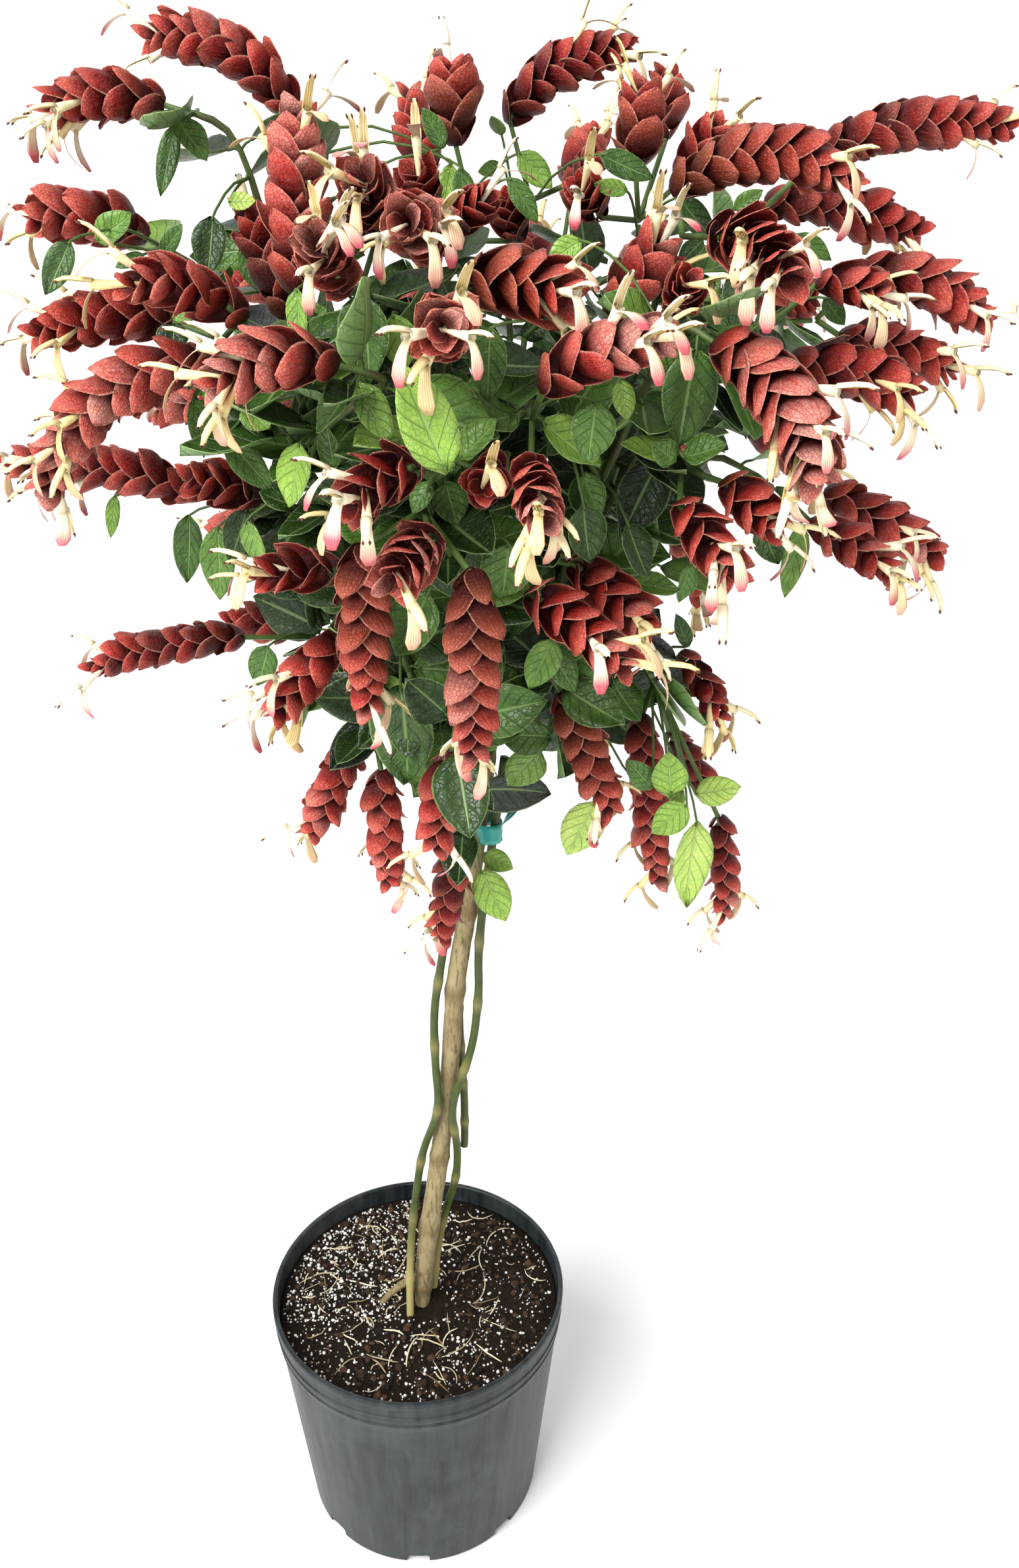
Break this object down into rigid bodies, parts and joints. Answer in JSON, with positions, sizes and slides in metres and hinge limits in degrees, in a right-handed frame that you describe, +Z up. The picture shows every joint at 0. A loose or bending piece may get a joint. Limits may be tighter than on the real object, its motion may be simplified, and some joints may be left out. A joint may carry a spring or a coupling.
{
  "type": "potted shrimp plant",
  "caption": "Flowering house plant: a twined trunk with a round crown of leafy boughs and drooping red bract spikes, built together with its round nursery pot.",
  "frame": {"origin": "centre of the pot's flat underside", "axes": "+Z up through the pot's axis, -Y toward the side the plant is usually seen from, +X to the right of that view"},
  "size_m": [0.6549, 0.5288, 1.1952],
  "materials": {
    "pot_plastic": "smooth satin, dark slate grey",
    "potting_soil": "rough, dark brown with white grains and straw",
    "bark": "matt, pale beige with rings",
    "green_stem": "matt, olive green",
    "tie_plastic": "thin glossy teal film",
    "leaf": "satin, mid green with paler veins",
    "bract": "matt, soft, brick red to coral with pale edges"
  },
  "bodies": {
    "root": {"bough_back_left": "leaf", "bough_back_right": "leaf", "bough_front_low": "leaf", "bough_front_mid": "leaf", "bough_front_right": "leaf", "bough_front_top": "leaf", "bough_left_front": "leaf", "bough_left_high": "leaf", "bough_left_low": "leaf", "bough_right_high": "leaf", "bough_right_low": "leaf", "bough_top": "leaf", "pot": "pot_plastic", "soil": "potting_soil", "spikes_back_1": "bract", "spikes_back_2": "bract", "spikes_back_3": "bract", "spikes_back_4": "bract", "spikes_back_5": "bract", "spikes_back_6": "bract", "spikes_back_7": "bract", "spikes_back_8": "bract", "spikes_front_1": "bract", "spikes_front_10": "bract", "spikes_front_11": "bract", "spikes_front_12": "bract", "spikes_front_13": "bract", "spikes_front_2": "bract", "spikes_front_3": "bract", "spikes_front_4": "bract", "spikes_front_5": "bract", "spikes_front_6": "bract", "spikes_front_7": "bract", "spikes_front_8": "bract", "spikes_front_9": "bract", "spikes_left_1": "bract", "spikes_left_2": "bract", "spikes_left_3": "bract", "spikes_left_4": "bract", "spikes_left_5": "bract", "spikes_left_6": "bract", "spikes_left_7": "bract", "spikes_left_8": "bract", "spikes_left_9": "bract", "spikes_right_1": "bract", "spikes_right_2": "bract", "spikes_right_3": "bract", "spikes_right_4": "bract", "spikes_right_5": "bract", "spikes_right_6": "bract", "spikes_right_7": "bract", "spikes_right_8": "bract", "spikes_top_1": "bract", "spikes_top_2": "bract", "spikes_top_3": "bract", "tie_ribbon": "tie_plastic", "trunk": "bark", "twining_stem_back": "green_stem", "twining_stem_left": "green_stem", "twining_stem_right": "green_stem"}
  },
  "joints": []
}
